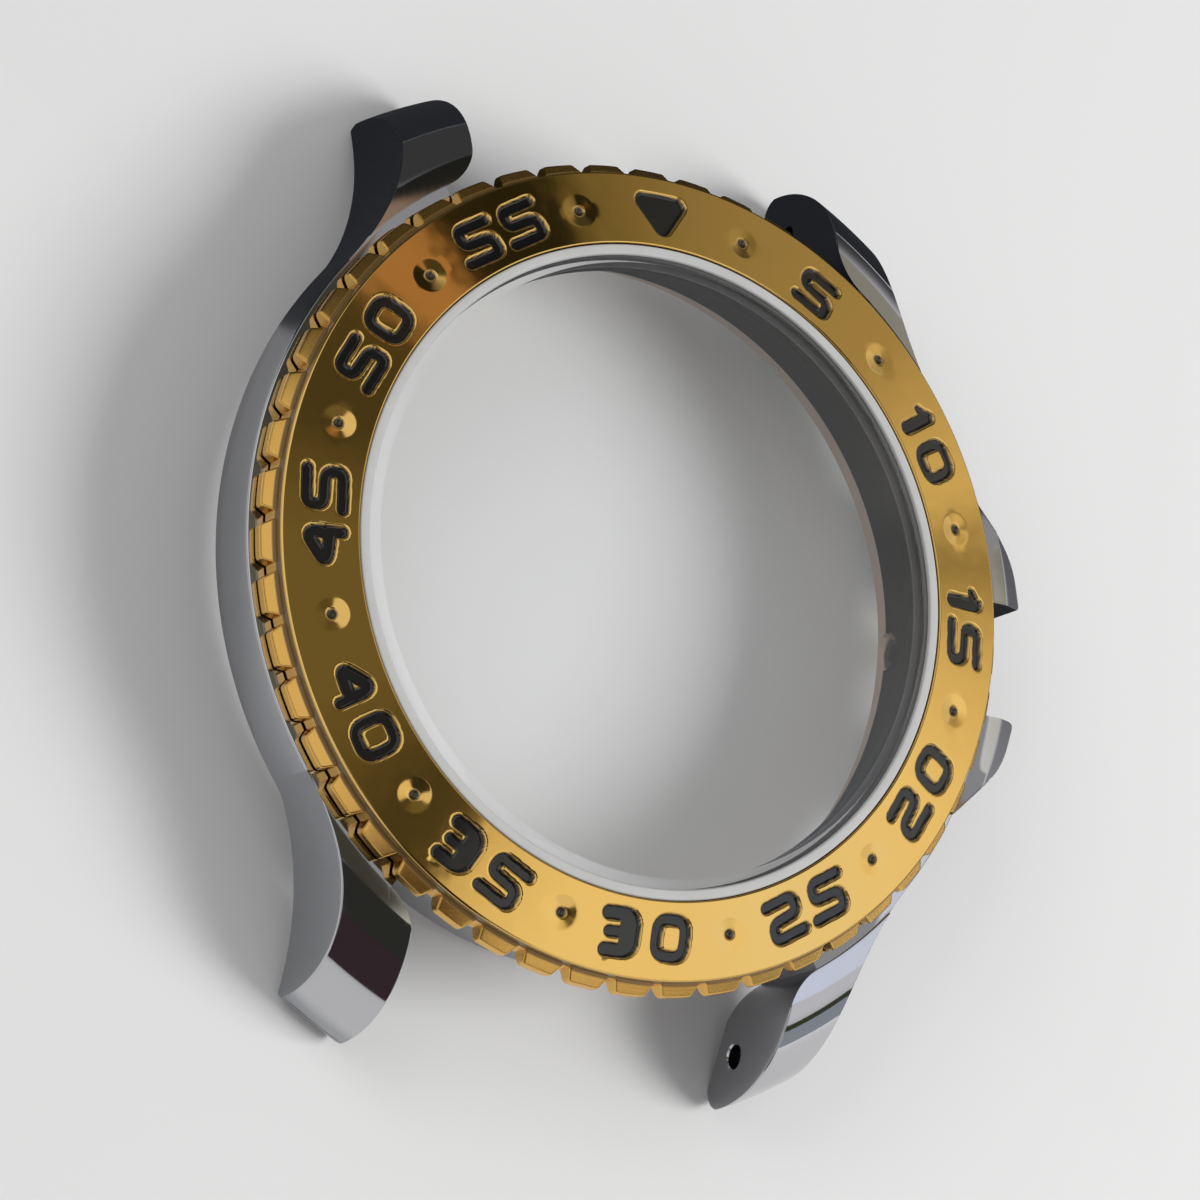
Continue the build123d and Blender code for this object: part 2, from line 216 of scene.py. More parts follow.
def add(tree, kind, **settings):
    """Adds a node, sets its properties, and its sockets where a setting names one."""
    node = tree.nodes.new(kind)
    for key, value in settings.items():
        if key in node.inputs:
            node.inputs[key].default_value = value
        else:
            setattr(node, key, value)
    return node


def join(tree, output, node, key):
    """Links an output socket to a node's input."""
    tree.links.new(output, node.inputs[key])


def maths(tree, operation, first, second=None):
    """Math node on sockets or numbers."""
    node = add(tree, "ShaderNodeMath", operation=operation)
    for index, value in enumerate((first, second)):
        if value is None:
            continue
        if isinstance(value, (int, float)):
            node.inputs[index].default_value = value
        else:
            tree.links.new(value, node.inputs[index])
    return node.outputs[0]


def make_group(name, inputs, outputs):
    """Shader node group with named sockets, and its two end nodes."""
    group = bpy.data.node_groups.new(name, "ShaderNodeTree")
    for key, kind, value in inputs:
        socket = group.interface.new_socket(key, in_out="INPUT", socket_type=kind)
        if value is not None:
            socket.default_value = value
    for key, kind in outputs:
        group.interface.new_socket(key, in_out="OUTPUT", socket_type=kind)
    return group, group.nodes.new("NodeGroupInput"), group.nodes.new("NodeGroupOutput")


def left_by(tree, mask):
    """What a mask leaves: 1 less its value."""
    return maths(tree, "SUBTRACT", 1.0, mask)


def noise_of(tree, place, **settings):
    """Value of a noise texture on coordinates."""
    node = add(tree, "ShaderNodeTexNoise", **settings)
    join(tree, place, node, "Vector")
    return node.outputs["Fac"]


def radius_of(tree, place):
    """Separated coordinates of a place, and its distance from the Z axis, the root of x^2 + y^2."""
    parts = add(tree, "ShaderNodeSeparateXYZ")
    join(tree, place, parts, 0)
    squares = [maths(tree, "POWER", parts.outputs[axis], 2.0) for axis in ("X", "Y")]
    return parts.outputs, maths(tree, "SQRT", maths(tree, "ADD", *squares))


def make_scratches():
    """Hairlines: two noises stretched along different ways, kept only near their middle value."""
    group, given, result = make_group(
        "hairlines",
        [("Vector", "NodeSocketVector", None), ("Amount", "NodeSocketFloat", 1.0)],
        [("Mask", "NodeSocketFloat")],
    )
    total = None
    for turn, stretch in ((0.5, (120, 5000, 500)), (2.1, (5000, 150, 500))):
        place = add(group, "ShaderNodeMapping", Rotation=(0, 0, turn), Scale=stretch)
        join(group, given.outputs["Vector"], place, "Vector")
        noise = noise_of(group, place.outputs[0], Scale=1.0, Detail=2.0, Roughness=0.5)
        off = maths(group, "ABSOLUTE", maths(group, "SUBTRACT", noise, 0.5))
        line = maths(group, "MAXIMUM", left_by(group, maths(group, "MULTIPLY", off, 90.0)), 0.0)
        total = line if total is None else maths(group, "MAXIMUM", total, line)
    join(group, maths(group, "MULTIPLY", total, given.outputs["Amount"]), result, "Mask")
    return group


def make_grain():
    """Lines round a turned or brushed piece: noise that changes fast up the piece and slowly round it."""
    group, given, result = make_group(
        "brushed_lines",
        [("Vector", "NodeSocketVector", None), ("Round", "NodeSocketFloat", 60.0),
         ("Across", "NodeSocketFloat", 9000.0)],
        [("Height", "NodeSocketFloat")],
    )
    parts, radius = radius_of(group, given.outputs["Vector"])
    across = add(group, "ShaderNodeCombineXYZ")
    level = maths(group, "SUBTRACT", parts["Z"], radius)
    for index, (value, key) in enumerate(((parts["X"], "Round"), (parts["Y"], "Round"), (level, "Across"))):
        join(group, maths(group, "MULTIPLY", value, given.outputs[key]), across, index)
    noise = noise_of(group, across.outputs[0], Scale=1.0, Detail=4.0, Roughness=0.7)
    join(group, noise, result, "Height")
    return group


HAIRLINES = make_scratches()
BRUSHED = make_grain()


def group_node(tree, group, vector, **values):
    """Places a node group, fed with coordinates and its own values."""
    node = add(tree, "ShaderNodeGroup", node_tree=group)
    join(tree, vector, node, "Vector")
    for key, value in values.items():
        node.inputs[key].default_value = value
    return node


def ranged(tree, value, low, high):
    """Map Range of a 0 to 1 value."""
    node = add(tree, "ShaderNodeMapRange", **{"To Min": low, "To Max": high})
    join(tree, value, node, "Value")
    return node.outputs[0]


def bumped(tree, height, distance, normal=None):
    """Bump node from a height."""
    node = add(tree, "ShaderNodeBump", Distance=distance)
    join(tree, height, node, "Height")
    if normal is not None:
        join(tree, normal, node, "Normal")
    return node.outputs[0]


def mixed_colour(tree, factor, first, second):
    """Mix of two colours or colour sockets."""
    node = add(tree, "ShaderNodeMix", data_type="RGBA")
    for key, value in (("A", first), ("B", second)):
        socket = [s for s in node.inputs if s.name == key and s.type == "RGBA"][0]
        if isinstance(value, tuple):
            socket.default_value = value
        else:
            tree.links.new(value, socket)
    tree.links.new(factor, node.inputs[0])
    return [s for s in node.outputs if s.type == "RGBA"][0]


def finish_material(tree, shader):
    """Output node for a shader."""
    join(tree, shader.outputs[0], add(tree, "ShaderNodeOutputMaterial"), "Surface")


def finish_surface(tree, shader, colour, rough, normal):
    """Feeds a surface shader its colour, roughness and normal, and gives it an output node."""
    for value, key in ((colour, "Base Color"), (rough, "Roughness"), (normal, "Normal")):
        join(tree, value, shader, key)
    finish_material(tree, shader)


def step_between(tree, value, low, high):
    """Smooth step of a socket from 0 at low to 1 at high."""
    limits = {"From Min": low, "From Max": high}
    node = add(tree, "ShaderNodeMapRange", interpolation_type="SMOOTHSTEP", **limits)
    join(tree, value, node, "Value")
    return node.outputs[0]


def metal(name, colour, dark, rough, brushing=0.0, across=9000.0, waves=0.0, paint_colour=None):
    """Polished or brushed metal: base colour with a cloudy tint, hairlines, lines round the piece, and for
    plated faces a faint waviness and a colour laid over the metal where the piece's attribute says so:
    black in the marks, and painted shade in the seams."""
    material, tree = new_material(name)
    place = add(tree, "ShaderNodeTexCoord").outputs["Object"]
    shader = add(tree, "ShaderNodeBsdfPrincipled", Metallic=1.0)
    cloud = noise_of(tree, place, Scale=160.0, Detail=5.0)
    tint = mixed_colour(tree, ranged(tree, cloud, 0.0, 0.5), colour, dark)
    scratch = group_node(tree, HAIRLINES, place, Amount=0.3)
    scratched = maths(tree, "MULTIPLY", scratch.outputs["Mask"], 0.1)
    spread = maths(tree, "ADD", ranged(tree, cloud, rough * 0.7, rough * 1.4), scratched)
    normal = None
    if brushing:
        lines = group_node(tree, BRUSHED, place, Across=across)
        normal = bumped(tree, lines.outputs["Height"], brushing * MM)
    if waves:
        normal = bumped(tree, noise_of(tree, place, Scale=330.0, Detail=2.0), waves * MM, normal)
    if paint_colour:
        paint = add(tree, "ShaderNodeAttribute", attribute_name="paint").outputs["Fac"]
        tint = mixed_colour(tree, paint, tint, paint_colour)
        shader.inputs["Specular IOR Level"].default_value = 0.6
        join(tree, left_by(tree, paint), shader, "Metallic")
        spread = maths(tree, "ADD", spread, maths(tree, "MULTIPLY", paint, 0.04))
    finish_surface(tree, shader, tint, spread, normal)
    return material


# Borders of the case's finishes and painted tones, in metres: the outside, the bore and its foot, and the low
# rim
OUTSIDE_FROM = ((RING_RADIUS - 2) * MM, (RING_RADIUS - 1.9) * MM)
BORE_WITHIN = (15.6 * MM, 15.7 * MM)
BORE_ABOVE = (2.3 * MM, 2.36 * MM)
RIM_WITHIN = (17.0 * MM, 17.2 * MM)


def case_metal(name):
    """Steel of the case middle: brushed, dull flanks with lines round them, tinted darker partly as painted
    shade, polished lug tops and deck, a turned bore coloured near-black as a painted dark reflection, and a
    rim below it coloured dull beige as a painted reflection. Masks come from the radius, the height and how
    far the face looks up."""
    material, tree = new_material(name)
    coordinates = add(tree, "ShaderNodeTexCoord")
    place = coordinates.outputs["Object"]
    shader = add(tree, "ShaderNodeBsdfPrincipled", Metallic=1.0)
    parts, radius = radius_of(tree, place)
    facing = add(tree, "ShaderNodeSeparateXYZ")
    join(tree, coordinates.outputs["Normal"], facing, 0)
    outside = step_between(tree, radius, *OUTSIDE_FROM)
    polished = maths(tree, "MULTIPLY", step_between(tree, facing.outputs["Z"], 0.06, 0.2), outside)
    dull = left_by(tree, polished)
    above = step_between(tree, parts["Z"], *BORE_ABOVE)
    bore = maths(tree, "MULTIPLY", above, left_by(tree, step_between(tree, radius, *BORE_WITHIN)))
    rim = left_by(tree, step_between(tree, radius, *RIM_WITHIN))
    low_rim = maths(tree, "MULTIPLY", rim, left_by(tree, above))
    cloud = noise_of(tree, place, Scale=140.0, Detail=5.0)
    bright = mixed_colour(tree, cloud, (0.6, 0.6, 0.615, 1), (0.5, 0.5, 0.52, 1))
    # Brushed flanks are darker than polished tops: partly their finish, partly painted shade for sides that
    # face away from the lamps
    satin_and_shade = mixed_colour(tree, cloud, (0.42, 0.425, 0.445, 1), (0.35, 0.355, 0.375, 1))
    tint = mixed_colour(tree, polished, satin_and_shade, bright)
    # Painted reflection: the rim below the bore is coloured dull beige, and made mostly not metal, for a
    # reddish reflection on it
    tint = mixed_colour(tree, low_rim, tint, (0.62, 0.5, 0.42, 1))
    # Painted reflection: the bore's walls are coloured near-black for the dark surroundings they would mirror
    tint = mixed_colour(tree, bore, tint, (0.1, 0.098, 0.1, 1))
    lines = group_node(tree, BRUSHED, place, Across=14000.0)
    scratch = group_node(tree, HAIRLINES, place, Amount=0.5)
    rough = ranged(tree, cloud, 0.03, 0.08)
    for mask, share in ((dull, 0.26), (scratch.outputs["Mask"], 0.08)):
        rough = maths(tree, "ADD", rough, maths(tree, "MULTIPLY", mask, share))
    normal = bumped(tree, maths(tree, "MULTIPLY", lines.outputs["Height"], dull), 0.002 * MM)
    join(tree, left_by(tree, maths(tree, "MULTIPLY", low_rim, 0.8)), shader, "Metallic")
    finish_surface(tree, shader, tint, rough, normal)
    return material


def plastic(name, colour, dark, rough):
    """Moulded plastic or rubber with a faint mottled colour and skin."""
    material, tree = new_material(name)
    place = add(tree, "ShaderNodeTexCoord").outputs["Object"]
    shader = add(tree, "ShaderNodeBsdfPrincipled")
    noise = noise_of(tree, place, Scale=700.0, Detail=6.0)
    spread = ranged(tree, noise, rough * 0.8, rough * 1.2)
    skin = bumped(tree, noise, 0.01 * MM)
    finish_surface(tree, shader, mixed_colour(tree, noise, colour, dark), spread, skin)
    return material


def clear_glass(name):
    """Clear mineral glass with faint smears, which lets lamps and indirect light through unbent."""
    material, tree = new_material(name)
    place = add(tree, "ShaderNodeTexCoord").outputs["Object"]
    body = {"Base Color": (0.97, 0.985, 0.98, 1), "Transmission Weight": 1.0, "IOR": 1.5}
    shader = add(tree, "ShaderNodeBsdfPrincipled", **body)
    smears = noise_of(tree, place, Scale=120.0, Detail=6.0)
    join(tree, ranged(tree, smears, 0.0, 0.03), shader, "Roughness")
    clear = add(tree, "ShaderNodeBsdfTransparent")
    ray = add(tree, "ShaderNodeLightPath")
    share = maths(tree, "MAXIMUM", ray.outputs["Is Shadow Ray"], ray.outputs["Is Diffuse Ray"])
    mix = add(tree, "ShaderNodeMixShader")
    for index, output in enumerate((share, shader.outputs[0], clear.outputs[0])):
        join(tree, output, mix, index)
    finish_material(tree, mix)
    return material


GOLD, DEEP_GOLD = (0.87, 0.56, 0.17, 1), (0.79, 0.48, 0.12, 1)
TOOTH_GOLD, DEEP_TOOTH_GOLD = (0.84, 0.5, 0.13, 1), (0.74, 0.4, 0.08, 1)
# Black of the marks painted black, also used for painted shade on the insert's side of the seam; brown only
# for painted shade on the coin edge's side of it
BLACK_PAINT_AND_SHADE, PAINTED_SEAM_BROWN = (0.008, 0.008, 0.009, 1), (0.05, 0.022, 0.008, 1)
gold_face = metal("gold_face", GOLD, DEEP_GOLD, 0.07, waves=0.02, paint_colour=BLACK_PAINT_AND_SHADE)
gold_teeth = metal(
    "gold_teeth", TOOTH_GOLD, DEEP_TOOTH_GOLD, 0.24, brushing=0.01, across=7000.0, paint_colour=PAINTED_SEAM_BROWN,
)
steel = case_metal("case_steel")
spring_steel = metal("spring_steel", (0.5, 0.51, 0.54, 1), (0.42, 0.43, 0.46, 1), 0.3, brushing=0.002)
tube_steel = metal("tube_steel", (0.62, 0.58, 0.5, 1), (0.54, 0.5, 0.42, 1), 0.2, brushing=0.002)
seal_white = plastic("seal_white", (0.56, 0.56, 0.55, 1), (0.47, 0.47, 0.46, 1), 0.35)
seal_black = plastic("seal_black", (0.02, 0.02, 0.02, 1), (0.03, 0.03, 0.03, 1), 0.5)
glass = clear_glass("crystal_glass")


# Numerals

def stroke_distance(points, path):
    """Distance of each point from a path: the least over its straight runs, at the nearest point of each."""
    start, run = path[:-1], np.diff(path, axis=0)
    share = ((points[:, None] - start) * run).sum(-1) / (run ** 2).sum(-1)
    nearest = start + np.clip(share, 0, 1)[..., None] * run
    return np.linalg.norm(points[:, None] - nearest, axis=-1).min(1)


# Centre lines of the digits in a box of 1.6 by 1.8 mm, as (points, closed, half the stroke)
THIN, THICK = 0.32, 0.38
DIGITS = {
    "0": [([(-0.76, 0.86), (0.76, 0.86), (0.76, -0.86), (-0.76, -0.86)], True, THIN)],
    "1": [([(0.15, 0.84), (0.15, -0.84)], False, THICK), ([(0.05, 0.8), (-0.4, 0.45)], False, 0.26)],
    "2": [([(-0.85, 0.86), (0.74, 0.86), (0.78, 0.05), (-0.74, -0.05), (-0.78, -0.86), (0.92, -0.86)],
           False, THIN)],
    "3": [
        ([(-0.72, 0.86), (0.68, 0.86), (0.68, -0.86), (-0.72, -0.86)], False, THICK),
        ([(-0.6, 0.0), (0.6, 0.0)], False, THIN),
        ([(0.42, 0.5), (0.42, -0.5)], False, 0.5),
    ],
    "4": [
        ([(0.6, 0.86), (-0.86, -0.2), (0.7, -0.34)], True, 0.36),
        ([(0.66, 0.3), (0.66, -0.88)], False, THIN),
    ],
    "5": [([(0.9, 0.86), (-0.74, 0.86), (-0.78, 0.05), (0.8, -0.02), (0.84, -0.86), (-0.94, -0.86)],
           False, THIN)],
}
CORNER = 0.6
DIGIT_PITCH = 2.68
NARROW_PITCH = 2.2


def numeral_distance(points, text):
    """Signed distance from the edge of a numeral's strokes, negative inside."""
    pitch = NARROW_PITCH if text[0] == "1" else DIGIT_PITCH
    best = np.full(len(points), 9.0)
    for place, digit in enumerate(text):
        shift = np.array([(place - (len(text) - 1) / 2) * pitch, 0.0])
        for path, closed, half in DIGITS[digit]:
            line = rounded(path, CORNER, 5, closed)
            line = np.vstack([line, line[:1]]) if closed else line
            best = np.minimum(best, stroke_distance(points - shift, line) - half)
    return best


def triangle_distance(points):
    """Signed distance from a triangle that points down, less the rounding of its corners: inside, it is the
    negative of the distance from the sides."""
    half, tall, rounding = 0.88, 1.25, 0.52
    shift = np.array([0.0, 0.05])
    path = np.array([(-half, tall / 2), (half, tall / 2), (0, -tall / 2), (-half, tall / 2)]) + shift
    gap = stroke_distance(points, path)
    x, y = (points - shift).T
    inside = (y < tall / 2) & (np.abs(x) * tall < (y + tall / 2) * half)
    return np.where(inside, -gap, gap) - rounding


def eased(value, low, high):
    """Smooth step from 0 at low to 1 at high: 3t^2 - 2t^3."""
    t = np.clip((value - low) / (high - low), 0, 1)
    return t * t * (3 - 2 * t)


# Numbered insert

NUMERAL_RADIUS, NUMERAL_SPAN = 17.4, 10
DIMPLE_RADIUS, DIMPLE_SPAN = 17.43, 4
NUMERAL_DEPTH = 0.22
WALL_FOOT, WALL_TOP = -0.11, 0.01
PAINT_FULL, PAINT_EDGE = -0.05, 0.0
DIMPLE_HALF = 0.85
DIMPLE_DEPTH = 0.055
PIT_HALF, PIT_FLAT = 0.28, 0.1
PIT_DEPTH = 0.16
PIT_PAINT = 0.97
# Strength of the painted shade in the seam between the insert and the coin edge
SEAM_SHADE = 0.8


def insert_angles():
    """Angles round the insert: close together at the numerals and dimples, wide apart between them. Within an
    hour they are spread evenly over the running sum of a weight, taken at a number of samples."""
    samples, columns = 113, 104
    marks = np.linspace(0, HOUR, samples, endpoint=False)
    at_dimple = np.abs(marks - HOUR / 2) < 2.9
    at_numeral = np.minimum(marks, HOUR - marks) < 9.2
    weight = np.cumsum(0.95 * at_dimple + 1.25 * at_numeral + 0.12)
    even = np.linspace(0, weight[-1], columns, endpoint=False)
    one = np.interp(even, np.r_[0, weight], np.r_[0, marks + HOUR / samples])
    return np.radians((one[None] + HOUR * np.arange(12)[:, None]).ravel() + 90 + BEZEL_TURN)


def insert_profile():
    """Section of the insert, counter-clockwise from its lower inner edge, with the face's rows marked."""
    fine = np.arange(MARKED_OUTER, MARKED_INNER, -ROW_STEP)
    outer, inner = INSERT_RADIUS - EDGE_ROUND, INSERT_BORE + EDGE_ROUND
    radii = np.r_[outer, outer - SUPPORT, PLAIN_OUTER, fine, PLAIN_INNER, inner + SUPPORT, inner]
    slope = math.tan(FACE_ANGLE)
    top_inner = INSERT_BOTTOM + FACE_THICKNESS + (INSERT_RADIUS - INSERT_BORE) * slope
    face = np.stack([radii, top_inner - (radii - INSERT_BORE) * slope], -1)
    bend = np.linspace(0, 1, 4)[:-1, None]

    def edge(corner, start, end):
        return (1 - bend) ** 2 * start + 2 * bend * (1 - bend) * corner + bend ** 2 * end

    outer_corner = np.array([INSERT_RADIUS, INSERT_BOTTOM + FACE_THICKNESS])
    inner_corner = np.array([INSERT_BORE, top_inner])
    down = np.array([0, -EDGE_ROUND])
    outer_edge = edge(outer_corner, outer_corner + down, face[0])
    inner_edge = edge(inner_corner, inner_corner + down, face[-1])[::-1]
    low = [[INSERT_BORE, top_inner - FACE_THICKNESS], [INSERT_RADIUS, INSERT_BOTTOM]]
    profile = np.vstack([low, outer_edge, face, inner_edge])
    first = 2 + len(outer_edge)
    return profile, slice(first, first + len(face))


def near_mark(angle, radius, face, place, span, mark_radius):
    """Block of the face's grid within a span of a mark, and its points' places on the face, across and
    outwards from the mark's middle."""
    away = (angle - place + np.pi) % (2 * np.pi) - np.pi
    near = np.nonzero(np.abs(away) < math.radians(span))[0]
    block = np.ix_(np.arange(face.start, face.stop), near)
    across = -radius[block] * np.sin(away[near])
    outward = (radius[block] * np.cos(away[near]) - mark_radius) / math.cos(FACE_ANGLE)
    return block, across, outward


def make_insert():
    """Cone face with sunken marks: each grid point moves into the face along its normal by a depth that eases
    from 0 outside a mark's edge to full inside it; the paint mask starts a little further in."""
    angle = insert_angles()
    profile, face = insert_profile()
    radius, height = np.repeat(profile.T[..., None], len(angle), 2)
    depth, paint = np.zeros_like(radius), np.zeros_like(radius)
    for hour in range(12):
        place = math.radians(90 + BEZEL_TURN - HOUR * hour)
        block, across, outward = near_mark(angle, radius, face, place, NUMERAL_SPAN, NUMERAL_RADIUS)
        flip = -1 if 4 <= hour <= 8 else 1
        points = np.stack([across * flip, outward * flip], -1).reshape(-1, 2)
        gap = triangle_distance(points) if hour == 0 else numeral_distance(points, str(hour * 5))
        gap = gap.reshape(across.shape)
        depth[block] = NUMERAL_DEPTH * (1 - eased(gap, WALL_FOOT, WALL_TOP))
        paint[block] = 1 - eased(gap, PAINT_FULL, PAINT_EDGE)
        place += math.radians(HOUR / 2)
        block, across, outward = near_mark(angle, radius, face, place, DIMPLE_SPAN, DIMPLE_RADIUS)
        gap = np.hypot(across, outward)
        cone = np.clip((DIMPLE_HALF - gap) / (DIMPLE_HALF - PIT_HALF), 0, 1)
        depth[block] = DIMPLE_DEPTH * cone + PIT_DEPTH * (1 - eased(gap, PIT_FLAT, PIT_HALF))
        paint[block] = PIT_PAINT * (1 - eased(gap, PIT_HALF - 0.06, PIT_HALF + 0.04))
    # Painted shade: the insert's outer wall, in the seam against the coin edge, is darkened towards black
    paint[1:3] = SEAM_SHADE
    radius = radius - depth * math.sin(FACE_ANGLE)
    height = height - depth * math.cos(FACE_ANGLE)
    points = around(radius, angle, height)
    piece = add_piece("numbered_insert", points, BEZEL, gold_face, 80, paint)
    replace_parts(piece, "bezel_insert")


# Coin-edge ring

def smooth_least(first, second, blend):
    """Smaller of two values with a rounded change-over: their mean less half the root of gap^2 + blend^2."""
    return (first + second - np.sqrt((first - second) ** 2 + blend ** 2)) / 2


def make_ring():
    """Ring section carried round a circle, held in by the notches: in a notch the radius is no more than
    root + (distance from its middle - half its root width) / flare. Click teeth rise in the track below.
    Angles lie closer together at the notches' middles."""
    pitch = 360 / TOOTH_COUNT
    share = np.linspace(-0.5, 0.5, 37)[:-1]
    share = 0.5 * np.sign(share) * np.abs(2 * share) ** 1.25
    angle = np.radians((pitch * (share[None] + np.arange(TOOTH_COUNT)[:, None])).ravel() + BEZEL_TURN)
    groove_out, skirt = RELIEF_RADIUS - 0.05, RING_RADIUS - 1.1
    relief_top, ceiling = RING_BOTTOM + 0.45, RING_BOTTOM + 0.1
    inside = [
        (INSERT_RADIUS, TOOTH_TOP), (RING_BORE, RING_TOP), (RING_BORE, GROOVE_HIGH),
        (groove_out, GROOVE_HIGH), (groove_out, GROOVE_LOW), (RING_BORE, GROOVE_LOW),
        (RING_BORE, relief_top), (RELIEF_RADIUS, relief_top), (RELIEF_RADIUS, ceiling),
    ]
    track = slice(len(inside) + 1, len(inside) + 3)
    inside += [(RELIEF_RADIUS + out, ceiling) for out in (0.15, 0.16, 1.5, 1.51)]
    inside += [(skirt, ceiling), (skirt, RING_BOTTOM), (RING_RADIUS - TOOTH_FOOT_ROUND, RING_BOTTOM)]
    side = np.linspace(RING_BOTTOM + TOOTH_FOOT_ROUND, TOOTH_SIDE_TOP - TOOTH_TOP_ROUND, 6)[:, None]
    side = np.hstack([RING_RADIUS + 0 * side, side])
    slope = np.array([TOOTH_ROOT - RING_RADIUS, TOOTH_TOP - TOOTH_SIDE_TOP])
    bevel = np.array([RING_RADIUS, TOOTH_SIDE_TOP]) + slope * np.linspace(0.06, 0.97, 9)[:, None]
    profile = np.vstack([inside, side, bevel])
    radius = np.repeat(profile[:, :1], len(angle), 1)
    within = np.abs(np.tile(share, TOOTH_COUNT)) * math.radians(pitch) * RING_RADIUS
    limit = TOOTH_ROOT + np.maximum(within - NOTCH_ROOT, 0) / NOTCH_FLARE
    held = smooth_least(radius, np.maximum(limit, TOOTH_ROOT)[None], NOTCH_ROUND)
    radius = np.where(profile[:, :1] > TOOTH_ROOT - 0.02, np.minimum(held, radius), radius)
    height = profile[:, 1:] + 0 * angle
    click = (angle * CLICK_COUNT / (2 * np.pi)) % 1
    height[track] += CLICK_DEPTH * eased(np.minimum(click, 1 - click), 0.05, 0.15)
    # Painted shade: the ring's rows beside the insert are darkened brown, along the seam between them
    seam = np.zeros_like(radius)
    seam[0] = seam[-2:] = SEAM_SHADE
    points = around(radius, angle, height)
    piece = add_piece("coin_ring", points, BEZEL, gold_teeth, 38, seam)
    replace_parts(piece, "bezel_ring")


# Case middle

# Section of the round body, in millimetres
NECK_RADIUS = RING_BORE - 0.05
WIRE_BED = NECK_RADIUS - 0.2
NECK_TOP = RING_TOP - 0.15
APERTURE = CRYSTAL_RADIUS - 0.5
MOVEMENT_RADIUS = APERTURE + 0.8
HOLDER_RADIUS = MOVEMENT_RADIUS + 0.3
BACK_RADIUS = HOLDER_RADIUS + 0.8
BACK_STEP, HOLDER_STEP = 1.0, 2.0
CORE_RADIUS = BACK_RADIUS + 1.3
FLANGE_RADIUS = CORE_RADIUS + 1.05
DECK = RING_BOTTOM - 0.15
FLANGE_BOTTOM = DECK - 1.2
FLANK_RADIUS = -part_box("mid_case")[0].x / MM
FLANK_BOTTOM = 2.4
FLANK_BULGE = 0.2
POCKET_INNER, POCKET_OUTER = NECK_RADIUS + 0.4, NECK_RADIUS + 1.9
POCKET_FLOOR = DECK - 0.35
SKIN = 0.005
BODY_COLUMNS = 240

# Where the flanks' and lugs' shells start, inside the core and below the spring's pocket
SHELL_START = CORE_RADIUS - 0.3
SHELL_ROOT, SHELL_SHELF = POCKET_OUTER + 0.1, POCKET_FLOOR - 0.15

# Lugs
LUG_INNER = 10.15
LUG_OUTER = 13.35
LUG_REACH = 25.2
LUG_FALL = 4.8
TIP_RADIUS = 1.0
TIP_LEVEL = FLOOR / MM + TIP_RADIUS
BLEND_RADIUS = 14.0
UNDERSIDE_START = 12.7
UNDERSIDE_SLOPE = math.tan(math.radians(23.8))
LUG_EDGE = 0.1
LUG_TOP = DECK + 0.15
SHOULDER = FLANK_RADIUS + 0.15
SHOULDER_CORNER = 3.0
BAR_HOLE_RADIUS, BAR_HOLE_MOUTH = 0.6, 0.68
BAR_HOLE_DEPTH, BAR_HOLE_BEVEL = 1.8, 0.08
BAR_HOLE_Y = math.sqrt(LUG_REACH ** 2 - LUG_INNER ** 2) - 2.4
BAR_HOLE_Z = 0.6

# Crown side
SEAT_X = FLANK_RADIUS - 0.4
GUARD_TIP = FLANK_RADIUS + 1.85
GUARD_GAP = 2.85
GUARD_START, GUARD_END = 18, 8.2
GUARD_KNEE = (GUARD_TIP - 0.55, 5.1)
GUARD_BOTTOM = 1.1
GUARD_BEVEL, GUARD_SLOPE = 1.1, 0.4545
GUARD_EDGE, GUARD_ROUND = 0.1, 0.03
STEM_LEVEL = 2.5
TUBE_SPIGOT, TUBE_RADIUS = 0.95, 1.2
TUBE_START, TUBE_STEP, TUBE_END = 14, 17.55, 23


def oriented(points, faces):
    """Faces turned round if the volume that they enclose, the sum of a.(b x c)/6 over fans, is negative."""
    total = 0.0
    for face in faces:
        corners = points[face]
        total += (np.cross(corners[1:-1], corners[2:]) @ corners[0]).sum()
    return [face[::-1] for face in faces] if total < 0 else faces


def loft(rings):
    """Closed shell over rings of points, each ring the outline of one section: quads between neighbouring
    rings and one face over each end."""
    count, size = rings.shape[:2]
    end = np.arange(size)
    faces = list(grid_quads(count, size, False)) + [end[::-1], end + (count - 1) * size]
    points = rings.reshape(-1, 3)
    return points, oriented(points, faces)


def solid(name, points, faces):
    """Plain helper object of a closed shell, for joining and cutting."""
    mesh = bpy.data.meshes.new(name)
    mesh.from_pydata(points.tolist(), [], [list(map(int, face)) for face in faces])
    return new_object(name, mesh)


def mirrored(points, faces, x=1, y=1):
    """Mirror image of a shell across the planes whose sign is -1, turned right way out again."""
    points = points * np.array([x, y, 1])
    return points, oriented(points, faces)


